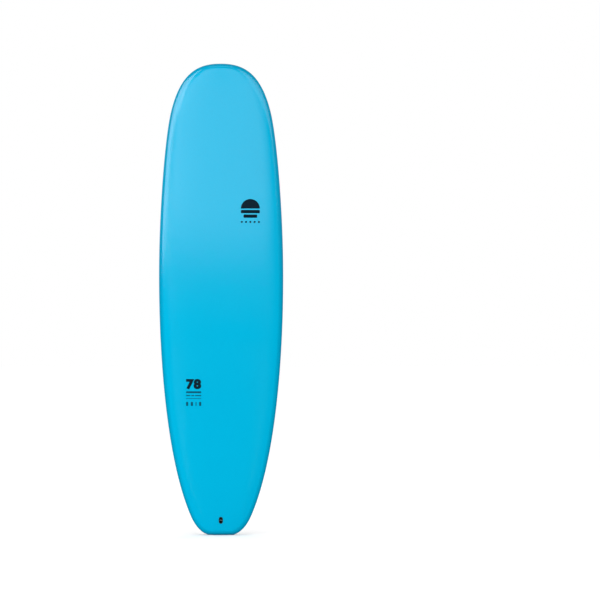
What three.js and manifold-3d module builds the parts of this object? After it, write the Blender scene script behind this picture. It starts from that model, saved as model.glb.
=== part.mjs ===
// A soft-top surfboard with a foam skin, two stringers, a leash plug and three plug-in fins.
// Millimetres. +Z runs from the tail to the nose, the deck faces -Y and the bottom faces +Y.
// The origin is the middle of the flat end of the tail.
import * as THREE from "three";
import { mergeVertices } from "three/addons/utils/BufferGeometryUtils.js";
import Module from "manifold-3d";

const wasm = await Module();
wasm.setup();

// ---- Driving dimensions ----
const LENGTH = 1981;
const WIDTH = 525;
const THICKNESS = 80; // at the thickest section
const WIDEST_Z = 1085; // height of the widest section above the tail
const THICKEST_Z = 900;
const FOIL_LOSS = 0.42; // share of the thickness lost between the middle and either end
const FOIL_POWER = 2.2;
const TAIL_ROCKER = 50; // how far each end lifts towards the deck side
const NOSE_ROCKER = 120;
const ROCKER_LOW_Z = 800; // the flattest, lowest point of the bottom
const TAIL_ROCKER_POWER = 2.2;
const NOSE_ROCKER_POWER = 2.6;
const END_ROUND = 24; // length over which the ends round off, as the rails do
const TAIL_BLUNT = 1.5; // how far short of a sharp edge that rounding stops
const NOSE_BLUNT = 0.36;
const RAIL_APEX = 0.38; // height of the widest line of the rail, as a share of the thickness
const DECK_CROWN = 3.2; // power of the deck's superellipse: higher is flatter
const TUCK = 24; // width of the rounded edge between the rail and the flat bottom
const TUCK_SHARE = 0.3; // its greatest share of a narrow section's half-width
const TUCK_STEPS = 2 / 3; // share of the facets under the rail that go round that edge

const ROUND_SIDES = 24; // facets round a plug or its hole
const SMALL_SIDES = 16; // facets round a screw or pin
const ARC_SIDES = 96; // facets round the circle of a guard's inner edge
const GAP = 0.3; // between pieces that touch
const SKIN = 5; // foam skin over deck, rails and ends
const SLICK = 1.2; // hard sheet on the bottom
const BACKING = 2.7; // foam under the hard sheet
const LIP = 7; // foam skin showing round the bottom sheet
const END_LIP = 3; // the same at the nose and tail
const STRINGER = 5;
const STRINGER_X = 60;

const NOSE_GUARD_DEPTH = 22; // from the nose to the guard's inner edge, on the centreline
const NOSE_GUARD_RADIUS = 567;
const TAIL_GUARD_DEPTH = 21;
const TAIL_GUARD_RADIUS = 219;
const GUARD_ZONE = 100; // both guards lie within this distance of their end

const SIDE_FIN = { x: 150, z: 361, toe: 3.3, cant: 5 }; // degrees, nose in and tips out
const CENTRE_FIN = { x: 0, z: 159, toe: 0, cant: 0 };
const FIN_THICK = 6.7;
const FIN_EDGE = 1; // thickness left at the leading and trailing edges
const FIN_LIFT = 0.8; // clearance between the fin's base and the bottom
const FIN_LEAD = 0.7; // power that moves the thickest part of the foil forwards
const FIN_FULLNESS = 0.6; // power that fills the foil out: lower is fuller
const FIN_TAPER = 0.55; // share of the thickness lost at the tip
const TAB = { thick: 5, length: 22, depth: 13.5, spacing: 62 };
const PLUG = { radius: 14, depth: 17, sink: 0.3 };
const SCREW = { radius: 2.5, length: 6.4, hex: 2.5, socket: 2.5, offset: 9, tilt: 30, start: 1.6 };
const SCREW_SPARE = 1; // how much deeper than the screw its hole is

const LEASH_Z = 63;
const CUP = { width: 17, length: 28, flange: 1.6, proud: 0.8, wall: 1.5, depth: 16 };
const POCKET = { width: 11, length: 22, depth: 13.5 };
const PIN = { radius: 2, length: 13.4, depth: 4 };

const REACH = 400; // longer than any cut needs to be
const CLEAR = 10; // how far a hole runs out past the surface it opens in
const OVERLAP = 1.5; // how far joined shapes run into each other
const HALF = WIDTH / 2;
const BOTTOM_LAYERS = SLICK + GAP + BACKING;

// ---- Solids and meshes ----
function solid(geometry, matrix) {
  const bare = geometry.clone();
  bare.deleteAttribute("normal");
  bare.deleteAttribute("uv");
  if (matrix) bare.applyMatrix4(matrix);
  const merged = mergeVertices(bare, 1e-4);
  const vertProperties = merged.attributes.position.array;
  const triVerts = new Uint32Array(merged.index.array);
  return new wasm.Manifold(new wasm.Mesh({ numProp: 3, vertProperties, triVerts }));
}

function geometryOf(made) {
  const { numProp, vertProperties, triVerts } = made.getMesh();
  const position = new Float32Array((vertProperties.length / numProp) * 3);
  for (let i = 0; i * 3 < position.length; i++)
    position.set(vertProperties.subarray(i * numProp, i * numProp + 3), i * 3);
  const geometry = new THREE.BufferGeometry();
  geometry.setAttribute("position", new THREE.BufferAttribute(position, 3));
  geometry.setIndex(new THREE.BufferAttribute(triVerts, 1));
  geometry.computeVertexNormals();
  return geometry;
}

const material = (color, roughness, metalness = 0) =>
  new THREE.MeshStandardMaterial({ color, roughness, metalness });

const FINISH = {
  skin: () => material(0x0fb2de, 0.55),
  slick: () => material(0xf3f4f6, 0.25),
  backing: () => material(0xe8e8e4, 0.8),
  guard: () => material(0x101214, 0.6),
  core: () => material(0xf6f6f2, 0.9),
  wood: () => material(0xc79a5e, 0.7),
  cup: () => material(0x14161a, 0.4),
  steel: () => material(0xb9bcc0, 0.25, 1),
  plug: () => material(0xeef0f2, 0.4),
  fin: () => material(0x8fa9b4, 0.3),
};

function mesh(name, made, finish) {
  const part = new THREE.Mesh(geometryOf(made), FINISH[finish]());
  part.name = name;
  return part;
}

// ---- The shape of the hull ----
const point = ([x, z]) => new THREE.Vector2(x, z);
const bezier = (...points) => new THREE.CubicBezierCurve(...points.map(point));

// Half of the outline seen from above, as half-width and height above the tail.
// Each stretch has the shares along it at which cross-sections are taken.
const TAIL_FLAT = 50; // half the width of the tail's flat end
const NOSE_FLAT = 6;
const TAIL_CORNER = [128.4, 82];
const WIDEST = [HALF, WIDEST_Z];
const NOSE_SHOULDER = [209.2, 1782.2];
const OUTLINE = [
  {
    curve: bezier([TAIL_FLAT, 0], [56, 0], [98, 11], TAIL_CORNER),
    shares: [0, 0.3, 0.5, 0.7, 0.85],
  },
  {
    curve: bezier(TAIL_CORNER, [249.3, 363], [HALF, 881], WIDEST),
    shares: [0, 0.1, 0.2, 0.32, 0.46, 0.6, 0.8],
  },
  {
    curve: bezier(WIDEST, [HALF, 1358.5], [236.4, 1673.4], NOSE_SHOULDER),
    shares: [0, 0.2, 0.4, 0.6, 0.8],
  },
  {
    curve: bezier(NOSE_SHOULDER, [169.6, 1940.6], [97.4, LENGTH], [NOSE_FLAT, LENGTH]),
    shares: [0, 0.2, 0.4, 0.6, 0.75, 0.86, 0.94, 1],
  },
];
const STATIONS = OUTLINE.flatMap(({ curve, shares }) => shares.map((share) => curve.getPoint(share)));

function rocker(z) {
  const tail = Math.max(0, (ROCKER_LOW_Z - z) / ROCKER_LOW_Z);
  const nose = Math.max(0, (z - ROCKER_LOW_Z) / (LENGTH - ROCKER_LOW_Z));
  return TAIL_ROCKER * tail ** TAIL_ROCKER_POWER + NOSE_ROCKER * nose ** NOSE_ROCKER_POWER;
}

const FOIL_REACH = Math.max(THICKEST_Z, LENGTH - THICKEST_Z);
const foil = (z) => THICKNESS * (1 - FOIL_LOSS * (Math.abs(z - THICKEST_Z) / FOIL_REACH) ** FOIL_POWER);

function endRounding(distance) {
  const share = 1 - Math.min(1, distance / END_ROUND);
  return Math.sqrt(1 - share * share);
}

const thickness = (z) => foil(z) * endRounding(z + TAIL_BLUNT) * endRounding(LENGTH - z + NOSE_BLUNT);
const lift = (z) => RAIL_APEX * (foil(z) - thickness(z)); // the rounded ends leave the bottom line
const BASE_Y = TAIL_ROCKER + lift(0) + thickness(0) / 2; // puts the tail's flat end on the origin
const bottomY = (z) => BASE_Y - rocker(z) - lift(z);
const deckY = (z) => bottomY(z) - thickness(z);
const slope = (line, z) => (line(z + 1) - line(z - 1)) / 2;

// A point on one cross-section: cos and sin of the angle round it, with the deck where sin > 0.
function sectionPoint(cos, sin, halfWidth, thick) {
  const apex = RAIL_APEX * thick;
  if (sin >= 0) {
    const x = halfWidth * Math.sign(cos) * Math.abs(cos) ** (2 / DECK_CROWN);
    return [x, apex + (thick - apex) * sin];
  }
  const down = Math.asin(Math.min(1, -sin)) / (Math.PI / 2); // 0 at the rail, 1 on the centreline
  const tuck = Math.min(TUCK, TUCK_SHARE * halfWidth);
  const turn = (Math.min(1, down / TUCK_STEPS) * Math.PI) / 2;
  const flat = Math.min(1, (1 - down) / (1 - TUCK_STEPS));
  const x = (halfWidth - tuck) * flat + tuck * Math.cos(turn);
  const side = Math.sign(Math.round(cos * 1e6)); // 0 on the centreline, where cos is almost 0
  return [side * x, apex * (1 - Math.sin(turn))];
}

// The hull, or the same shape drawn in by an amount at the rails, ends, deck and bottom.
const AROUND = 24;
function hull({ rail = 0, ends = 0, deck = 0, bottom = 0 } = {}) {
  const geometry = new THREE.CylinderGeometry(1, 1, 1, AROUND, STATIONS.length - 1);
  const p = geometry.attributes.position;
  for (let i = 0; i < p.count; i++) {
    const station = STATIONS[Math.round((p.getY(i) + 0.5) * (STATIONS.length - 1))];
    const z = ends + (station.y * (LENGTH - 2 * ends)) / LENGTH;
    const thick = thickness(station.y) - deck - bottom;
    const y = BASE_Y - rocker(z) - lift(station.y) - bottom;
    const halfWidth = (station.x * (HALF - rail)) / HALF;
    const centre = Math.hypot(p.getX(i), p.getZ(i)) < 0.5;
    const [x, height] = centre ? [0, thick / 2] : sectionPoint(p.getX(i), p.getZ(i), halfWidth, thick);
    p.setXYZ(i, x, y - height, z);
  }
  return geometry;
}

// A straight-sided block with the outline seen from above, drawn in at the rails and ends.
function planBlock(rail, ends) {
  const side = STATIONS.map(({ x, y }) => [
    (x * (HALF - rail)) / HALF,
    ends + (y * (LENGTH - 2 * ends)) / LENGTH,
  ]);
  const mirrored = side.map(([x, z]) => [-x, z]).reverse();
  const shape = new THREE.Shape([...side, ...mirrored].map(point));
  const block = new THREE.ExtrudeGeometry(shape, { depth: REACH, bevelEnabled: false });
  return solid(block.rotateX(Math.PI / 2).translate(0, REACH / 2, 0));
}

// Everything deeper than a distance under the bottom surface.
const hullBelow = (depth) => solid(hull().translate(0, -depth, 0));
const layer = (from, to) => hullBelow(from).subtract(hullBelow(to));

// The end of the board beyond a round edge, whose radius runs through the guard's inner edge.
function beyondArc(end, radius, depth, margin = 0) {
  const atNose = end === "nose";
  const edge = atNose ? LENGTH - depth : depth;
  const centre = atNose ? edge - radius : edge + radius;
  const zoneMiddle = atNose ? LENGTH : 0;
  const zone = new THREE.BoxGeometry(2 * HALF, REACH, 2 * GUARD_ZONE).translate(0, 0, zoneMiddle);
  const disc = new THREE.CylinderGeometry(radius - margin, radius - margin, 2 * REACH, ARC_SIDES);
  return solid(zone).subtract(solid(disc.translate(0, 0, centre)));
}
const noseZone = (margin) => beyondArc("nose", NOSE_GUARD_RADIUS, NOSE_GUARD_DEPTH, margin);
const tailZone = (margin) => beyondArc("tail", TAIL_GUARD_RADIUS, TAIL_GUARD_DEPTH, margin);

// ---- Fins, in a frame with x across, y out of the bottom and z forwards ----
const finLeading = bezier([53, 0], [36, 62], [-8, 114], [-58, 110]);
const finTrailing = bezier([-53, 0], [-36, 40], [-44, 82], [-66, 103]);
const CHORD_STEPS = 8;
const SPAN_STEPS = 7;

function finBlade() {
  const geometry = new THREE.BoxGeometry(1, 1, 1, 1, SPAN_STEPS, CHORD_STEPS);
  const p = geometry.attributes.position;
  for (let i = 0; i < p.count; i++) {
    const span = p.getY(i) + 0.5;
    const chord = 0.5 - p.getZ(i); // 0 at the leading edge
    const front = finLeading.getPoint(span);
    const place = front.lerp(finTrailing.getPoint(span), chord);
    const foilShare = Math.max(0, Math.sin(Math.PI * chord ** FIN_LEAD)) ** FIN_FULLNESS;
    const thick = FIN_EDGE + (FIN_THICK - FIN_EDGE) * foilShare * (1 - FIN_TAPER * span * span);
    p.setXYZ(i, p.getX(i) * thick, place.y + FIN_LIFT, place.x);
  }
  return solid(geometry);
}

function finWithTabs() {
  const height = TAB.depth + FIN_LIFT + OVERLAP;
  const middle = height / 2 - TAB.depth;
  const tabs = [1, -1].map((end) => {
    const tab = new THREE.BoxGeometry(TAB.thick, height, TAB.length);
    return solid(tab.translate(0, middle, (end * TAB.spacing) / 2));
  });
  return tabs.reduce((made, tab) => made.add(tab), finBlade());
}

// The slanted line of the grub screw, which meets the side of the tab.
function screwGeometry(radius, from, length, sides, sideways) {
  const geometry = new THREE.CylinderGeometry(radius, radius, length, sides);
  geometry.translate(0, -from - length / 2, 0);
  geometry.rotateZ((-sideways * SCREW.tilt * Math.PI) / 180);
  return geometry.translate(sideways * SCREW.offset, 0, 0);
}

function grubScrew(sideways) {
  const body = solid(screwGeometry(SCREW.radius, SCREW.start, SCREW.length, SMALL_SIDES, sideways));
  const hexRadius = SCREW.hex / Math.sqrt(3);
  const hex = screwGeometry(hexRadius, SCREW.start - OVERLAP, SCREW.socket + OVERLAP, 6, sideways);
  return body.subtract(solid(hex));
}

function finPlug(cant, sideways) {
  const tilt = new THREE.Matrix4().makeRotationZ(cant);
  const round = new THREE.CylinderGeometry(PLUG.radius, PLUG.radius, PLUG.depth, ROUND_SIDES);
  const slotDepth = TAB.depth + 2 * GAP;
  const slot = new THREE.BoxGeometry(TAB.thick + 2 * GAP, 2 * slotDepth, TAB.length + 2 * GAP);
  const holeLength = CLEAR + SCREW.start + SCREW.length + SCREW_SPARE;
  const hole = screwGeometry(SCREW.radius + GAP, -CLEAR, holeLength, SMALL_SIDES, sideways);
  return solid(round.translate(0, -PLUG.depth / 2 - PLUG.sink, 0))
    .subtract(solid(slot, tilt))
    .subtract(solid(hole, tilt));
}

const plugHole = () => {
  const radius = PLUG.radius + GAP;
  const geometry = new THREE.CylinderGeometry(radius, radius, PLUG.depth + CLEAR, ROUND_SIDES);
  return geometry.translate(0, (CLEAR - PLUG.depth) / 2 - PLUG.sink - GAP, 0);
};

// One fin with its two plugs and screws. side is -1 left, 0 centre, 1 right.
function finStation(name, side, { x, z, toe, cant }) {
  const station = new THREE.Group();
  station.position.set(side * x, bottomY(z), z);
  station.rotation.x = -Math.atan(slope(bottomY, z));
  station.rotation.y = THREE.MathUtils.degToRad(-side * toe);
  const canted = new THREE.Group();
  canted.rotation.z = THREE.MathUtils.degToRad(-side * cant);
  canted.add(mesh("fin_" + name, finWithTabs(), "fin"));
  station.add(canted);
  const sideways = side > 0 ? -1 : 1; // screws on the inboard side
  const holes = [];
  for (const [place, end] of [["front", 1], ["rear", -1]]) {
    const forward = (end * TAB.spacing) / 2;
    const plug = mesh(`fin_plug_${name}_${place}`, finPlug(canted.rotation.z, sideways), "plug");
    plug.position.z = forward;
    station.add(plug);
    const screw = mesh(`grub_screw_${name}_${place}`, grubScrew(sideways), "steel");
    screw.position.z = forward;
    canted.add(screw);
    station.updateMatrixWorld(true);
    holes.push(solid(plugHole(), plug.matrixWorld));
  }
  return { station, holes };
}

// ---- Leash plug, in a frame with y out of the deck ----
function stadium(width, length, depth, top) {
  const shape = new THREE.Shape();
  const reach = (length - width) / 2;
  shape.absarc(0, reach, width / 2, 0, Math.PI, false);
  shape.absarc(0, -reach, width / 2, Math.PI, 2 * Math.PI, false);
  const options = { depth, bevelEnabled: false, curveSegments: ROUND_SIDES / 3 };
  return new THREE.ExtrudeGeometry(shape, options).rotateX(Math.PI / 2).translate(0, top, 0);
}

function leashCup() {
  const bodyWidth = CUP.width - 2 * CUP.wall;
  const bodyLength = CUP.length - 2 * CUP.wall;
  const pocketTop = CUP.proud + OVERLAP;
  const holeRadius = PIN.radius + GAP;
  const pinHole = new THREE.CylinderGeometry(holeRadius, holeRadius, 2 * CUP.width, SMALL_SIDES);
  return solid(stadium(bodyWidth, bodyLength, CUP.depth, 0))
    .add(solid(stadium(CUP.width, CUP.length, CUP.flange, CUP.proud)))
    .subtract(solid(stadium(POCKET.width, POCKET.length, POCKET.depth + pocketTop, pocketTop)))
    .subtract(solid(pinHole.rotateZ(Math.PI / 2).translate(0, -PIN.depth, 0)));
}

function leashPlug() {
  const plug = new THREE.Group();
  plug.position.set(0, deckY(LEASH_Z), LEASH_Z);
  plug.rotation.x = Math.PI - Math.atan(slope(deckY, LEASH_Z));
  const pin = new THREE.CylinderGeometry(PIN.radius, PIN.radius, PIN.length, SMALL_SIDES);
  plug.add(mesh("leash_cup", leashCup(), "cup"));
  plug.add(mesh("leash_pin", solid(pin.rotateZ(Math.PI / 2).translate(0, -PIN.depth, 0)), "steel"));
  plug.updateMatrixWorld(true);
  const hole = stadium(CUP.width + 2 * GAP, CUP.length + 2 * GAP, CUP.depth + GAP + CLEAR, CLEAR);
  return { plug, hole: solid(hole, plug.matrixWorld) };
}

// ---- Assembly ----
const fins = [
  finStation("left", -1, SIDE_FIN),
  finStation("right", 1, SIDE_FIN),
  finStation("centre", 0, CENTRE_FIN),
];
const finHoles = fins.flatMap(({ holes }) => holes);
const leash = leashPlug();
const cutAll = (made, cutters) => cutters.reduce((left, cutter) => left.subtract(cutter), made);

const sheetPlan = planBlock(LIP, END_LIP);
const sheetCuts = [noseZone(GAP), tailZone(GAP), ...finHoles];
const bottomSheet = (from, to) => cutAll(layer(from, to).intersect(sheetPlan), sheetCuts);
const guard = (zone) => layer(0, BOTTOM_LAYERS).intersect(sheetPlan).intersect(zone);

const trayDepth = BOTTOM_LAYERS + GAP;
const tray = planBlock(LIP - GAP, END_LIP - GAP).subtract(hullBelow(trayDepth));
const cavityBottom = trayDepth - OVERLAP; // shallower than the tray, so that the two run together
const cavity = solid(hull({ rail: SKIN, ends: SKIN, deck: SKIN, bottom: cavityBottom }));
const skin = cutAll(solid(hull()), [cavity, tray, leash.hole]);

const inset = SKIN + GAP;
const blankHull = solid(hull({ rail: inset, ends: inset, deck: inset, bottom: cavityBottom + GAP }));
const blank = cutAll(blankHull.intersect(hullBelow(trayDepth)), [...finHoles, leash.hole]);

// A slice of the foam blank between two distances across the board.
function blankSlice(from, to) {
  const slab = new THREE.BoxGeometry(to - from, 2 * REACH, 2 * LENGTH);
  return blank.intersect(solid(slab.translate((from + to) / 2, 0, LENGTH / 2)));
}
const inner = STRINGER_X - STRINGER / 2;
const outer = STRINGER_X + STRINGER / 2;

const board = new THREE.Group();
board.add(mesh("deck_skin", skin, "skin"));
board.add(mesh("bottom_slick", bottomSheet(0, SLICK), "slick"));
board.add(mesh("bottom_foam", bottomSheet(SLICK + GAP, BOTTOM_LAYERS), "backing"));
board.add(mesh("nose_guard", guard(noseZone()), "guard"));
board.add(mesh("tail_guard", guard(tailZone()), "guard"));
board.add(mesh("core_left", blankSlice(-HALF, -outer - GAP), "core"));
board.add(mesh("core_centre", blankSlice(-inner + GAP, inner - GAP), "core"));
board.add(mesh("core_right", blankSlice(outer + GAP, HALF), "core"));
board.add(mesh("stringer_left", blankSlice(-outer, -inner), "wood"));
board.add(mesh("stringer_right", blankSlice(inner, outer), "wood"));
board.add(leash.plug);
fins.forEach(({ station }) => board.add(station));

export default board;
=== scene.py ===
"""A soft-top surfboard standing on its tail, deck to the camera, in a plain white studio."""

import math

import bmesh
import bpy
import numpy as np
from mathutils import Matrix, Vector


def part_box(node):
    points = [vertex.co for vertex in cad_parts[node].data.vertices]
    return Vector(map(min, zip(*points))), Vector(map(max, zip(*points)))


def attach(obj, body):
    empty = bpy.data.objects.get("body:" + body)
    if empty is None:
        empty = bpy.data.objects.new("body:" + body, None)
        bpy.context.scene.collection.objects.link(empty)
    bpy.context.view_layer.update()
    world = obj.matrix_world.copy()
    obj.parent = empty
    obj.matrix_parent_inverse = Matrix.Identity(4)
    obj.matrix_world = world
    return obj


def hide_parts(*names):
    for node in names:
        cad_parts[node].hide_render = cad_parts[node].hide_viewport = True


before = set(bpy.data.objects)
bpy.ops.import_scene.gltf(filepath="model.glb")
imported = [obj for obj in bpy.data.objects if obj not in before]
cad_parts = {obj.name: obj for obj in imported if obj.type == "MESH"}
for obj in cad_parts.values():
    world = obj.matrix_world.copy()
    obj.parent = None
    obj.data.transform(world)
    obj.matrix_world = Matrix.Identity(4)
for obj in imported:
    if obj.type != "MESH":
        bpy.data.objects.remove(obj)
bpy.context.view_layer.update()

MM = 0.001

# ---- Camera: level, square to the deck, with the board in the left of the picture ----
SENSOR = 36  # the width of the sensor, in millimetres
CAMERA_AT = (0.333, -16, 0.9895)
PICTURE_WIDTH = 2.5275  # what the picture spans at the board, in metres
cam_data = bpy.data.cameras.new("camera")
cam_data.sensor_width = SENSOR
cam_data.lens = SENSOR * -CAMERA_AT[1] / PICTURE_WIDTH
camera = bpy.data.objects.new("camera", cam_data)
camera.location = CAMERA_AT
camera.rotation_euler = (math.pi / 2, 0, 0)
bpy.context.scene.collection.objects.link(camera)
bpy.context.scene.camera = camera

# ---- The hull's dimensions, in millimetres, the same as the frame's ----
skin_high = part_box("deck_skin")[1]
LENGTH = skin_high.z / MM
HALF = skin_high.x / MM
THICKNESS = 80
WIDEST_Z = 1085
THICKEST_Z = 900
FOIL_LOSS = 0.42
FOIL_POWER = 2.2
TAIL_ROCKER = 50
NOSE_ROCKER = 120
ROCKER_LOW_Z = 800
TAIL_ROCKER_POWER = 2.2
NOSE_ROCKER_POWER = 2.6
END_ROUND = 24
TAIL_BLUNT = 1.5
NOSE_BLUNT = 0.36
RAIL_APEX = 0.38
DECK_CROWN = 3.2
TUCK = 24
TUCK_SHARE = 0.3
GAP = 0.3
LIP = 7
END_LIP = 3
NOSE_GUARD = {"depth": 22, "radius": 567}
TAIL_GUARD = {"depth": 21, "radius": 219}
TAIL_FLAT = 50
NOSE_FLAT = 6
TAIL_CORNER = (128.4, 82)
NOSE_SHOULDER = (209.2, 1782.2)
OUTLINE = [
    ((TAIL_FLAT, 0), (56, 0), (98, 11), TAIL_CORNER),
    (TAIL_CORNER, (249.3, 363), (HALF, 881), (HALF, WIDEST_Z)),
    ((HALF, WIDEST_Z), (HALF, 1358.5), (236.4, 1673.4), NOSE_SHOULDER),
    (NOSE_SHOULDER, (169.6, 1940.6), (97.4, LENGTH), (NOSE_FLAT, LENGTH)),
]
OUTLINE_STEPS = (32, 76, 60, 52)
FLAT_STEPS = 5  # steps from the middle of the flat tail end to its corner


def bezier(points, parameters):
    """The points of a cubic curve at these parameters from 0 to 1, one row each."""
    a, b, c, d = (np.array(p, float) for p in points)
    t = np.asarray(parameters, float)[:, None]
    return (1 - t) ** 3 * a + 3 * (1 - t) ** 2 * t * b + 3 * (1 - t) * t**2 * c + t**3 * d


DENSE = np.vstack([bezier(p, np.linspace(0, 1, 400)) for p in OUTLINE])  # to look widths up in


def half_width(z):
    """Half the width of the outline."""
    return np.interp(z, DENSE[:, 1], DENSE[:, 0])


def rocker(z):
    """How far the bottom curves up towards the deck, away from its lowest place."""
    tail = np.maximum(0, (ROCKER_LOW_Z - z) / ROCKER_LOW_Z)
    nose = np.maximum(0, (z - ROCKER_LOW_Z) / (LENGTH - ROCKER_LOW_Z))
    return TAIL_ROCKER * tail**TAIL_ROCKER_POWER + NOSE_ROCKER * nose**NOSE_ROCKER_POWER


def foil(z):
    """The thickness along the board, before its ends are rounded off."""
    reach = max(THICKEST_Z, LENGTH - THICKEST_Z)
    return THICKNESS * (1 - FOIL_LOSS * (np.abs(z - THICKEST_Z) / reach) ** FOIL_POWER)


def end_rounding(distance):
    """The share of the thickness that is left at a distance from an end."""
    share = 1 - np.minimum(1, distance / END_ROUND)
    return np.sqrt(1 - share * share)


def thickness(z):
    return foil(z) * end_rounding(z + TAIL_BLUNT) * end_rounding(LENGTH - z + NOSE_BLUNT)


def lift(z):
    """How far the rounding of an end raises the bottom."""
    return RAIL_APEX * (foil(z) - thickness(z))


BASE_Y = TAIL_ROCKER + lift(0) + thickness(0) / 2


def bottom_line(z):
    return BASE_Y - rocker(z) - lift(z)


def deck_line(z):
    return bottom_line(z) - thickness(z)


def slope(line, z):
    return float((line(z + 1) - line(z - 1)) / 2)


def bottom_y(x, z):
    """The height of the bottom surface at a point of the outline's plane."""
    wide = half_width(z)
    apex = RAIL_APEX * thickness(z)
    tuck = np.minimum(TUCK, TUCK_SHARE * wide)
    out = np.clip((np.abs(x) - (wide - tuck)) / tuck, 0, 1)
    return bottom_line(z) - apex * (1 - np.sqrt(1 - out * out))


def deck_y(x, z):
    """The height of the deck surface at a point of the outline's plane."""
    thick = thickness(z)
    apex = RAIL_APEX * thick
    out = np.clip(np.abs(x) / half_width(z), 0, 1) ** DECK_CROWN
    return bottom_line(z) - apex - (thick - apex) * np.sqrt(1 - out)


def outline_loop():
    """The whole outline as a closed loop of (x, z), starting at the middle of the tail."""
    stretches = [bezier(p, np.arange(n) / n) for p, n in zip(OUTLINE, OUTLINE_STEPS)]
    tail = [(TAIL_FLAT * k / FLAT_STEPS, 0) for k in range(FLAT_STEPS)]
    nose = [(NOSE_FLAT, LENGTH), (NOSE_FLAT / 2, LENGTH)]
    right = np.vstack([tail, *stretches, nose])
    left = right[1:][::-1] * (-1, 1)
    return np.vstack([right, [(0, LENGTH)], left])


LOOP = outline_loop()


def drawn_in(rail, ends):
    """The outline drawn in by an amount at the rails and at the ends."""
    x = LOOP[:, 0] * (HALF - rail) / HALF
    z = ends + LOOP[:, 1] * (LENGTH - 2 * ends) / LENGTH
    return x, z


# ---- Mesh helpers ----
CREASE = 35  # edges bent by more degrees than this are shaded sharp
SAME_POINT = 1e-4  # points closer than this, in millimetres, are joined
SAME_SHEET_POINT = 1e-3
SHORTEST_EDGE = 1e-5
SIDES = 40  # of the small round solids
OVERCUT = 6  # how far a cutter stands out past the surface that it cuts


def new_object(name, bm, sharp=CREASE):
    """Makes an object from a bmesh in millimetres, smooth except at creases over the angle."""
    bmesh.ops.remove_doubles(bm, verts=bm.verts, dist=SAME_POINT)
    bmesh.ops.dissolve_degenerate(bm, edges=bm.edges, dist=SHORTEST_EDGE)
    bmesh.ops.scale(bm, vec=(MM, MM, MM), verts=bm.verts)
    mesh = bpy.data.meshes.new(name)
    bm.to_mesh(mesh)
    bm.free()
    mesh.shade_smooth()
    mesh.set_sharp_from_angle(angle=math.radians(sharp))
    made = bpy.data.objects.new(name, mesh)
    bpy.context.scene.collection.objects.link(made)
    return made


def grid(bm, rows, closed_columns=False, rim=None):
    """Adds a sheet of quads through rows of points and returns its vertices; rim is a value per row."""
    layer = rim and bm.verts.layers.float.new("rim")
    made = [[bm.verts.new(p) for p in row] for row in rows]
    if rim:
        for row, value in zip(made, rim):
            for v in row:
                v[layer] = value
    count = len(rows[0])
    for low, high in zip(made, made[1:]):
        for i in range(count if closed_columns else count - 1):
            j = (i + 1) % count
            bm.faces.new((low[i], low[j], high[j], high[i]))
    return made


def face_outwards(bm, line, z, out):
    """Turns an open sheet so that it faces +y or -y (out is 1 or -1) at z on the board's middle line."""
    at = Vector((0, line(z), z))
    bmesh.ops.recalc_face_normals(bm, faces=bm.faces)
    nearest = min(bm.faces, key=lambda f: (f.calc_center_median() - at).length)
    if nearest.normal.y * out < 0:
        bmesh.ops.reverse_faces(bm, faces=bm.faces)


def apply_modifiers(made):
    depsgraph = bpy.context.evaluated_depsgraph_get()
    mesh = bpy.data.meshes.new_from_object(made.evaluated_get(depsgraph))
    made.modifiers.clear()
    old, made.data = made.data, mesh
    mesh.name = made.name
    bpy.data.meshes.remove(old)
    return made


def thicken(made, depth):
    """Gives an open sheet a depth in millimetres behind its outer face."""
    solidify = made.modifiers.new("depth", "SOLIDIFY")
    solidify.thickness = depth * MM
    solidify.offset = -1
    return apply_modifiers(made)


def cut(made, *tools):
    """Cuts closed objects out of another and removes them."""
    for tool in tools:
        boolean = made.modifiers.new("cut", "BOOLEAN")
        boolean.operation = "DIFFERENCE"
        boolean.solver = "EXACT"
        boolean.object = tool
        bpy.context.view_layer.update()
        apply_modifiers(made)
        bpy.data.objects.remove(tool)
    made.data.set_sharp_from_angle(angle=math.radians(CREASE))
    return made


def close_solid(bm):
    """Joins the points of a solid that coincide and turns its faces outwards."""
    bmesh.ops.remove_doubles(bm, verts=bm.verts, dist=SAME_POINT)
    bmesh.ops.recalc_face_normals(bm, faces=bm.faces)


# ---- Materials ----
class Tree:
    """Short names for making the nodes of a material or a world."""

    def __init__(self, node_tree):
        self.nodes = node_tree.nodes
        self.links = node_tree.links

    def new(self, kind):
        return self.nodes.new(kind)

    def math(self, operation, first, second=0):
        node = self.new("ShaderNodeMath")
        node.operation = operation
        for socket, value in zip(node.inputs, (first, second)):
            if isinstance(value, (int, float)):
                socket.default_value = value
            else:
                self.links.new(value, socket)
        return node.outputs[0]

    def split(self, vector):
        node = self.new("ShaderNodeSeparateXYZ")
        self.links.new(vector, node.inputs[0])
        return node.outputs

    def ramp(self, source, low, high, value_low, value_high):
        """A value that runs from value_low to value_high as the source runs from low to high."""
        node = self.new("ShaderNodeMapRange")
        limits = {"From Min": low, "From Max": high, "To Min": value_low, "To Max": value_high}
        for socket, value in limits.items():
            node.inputs[socket].default_value = value
        self.links.new(source, node.inputs["Value"])
        return node.outputs["Result"]


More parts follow.
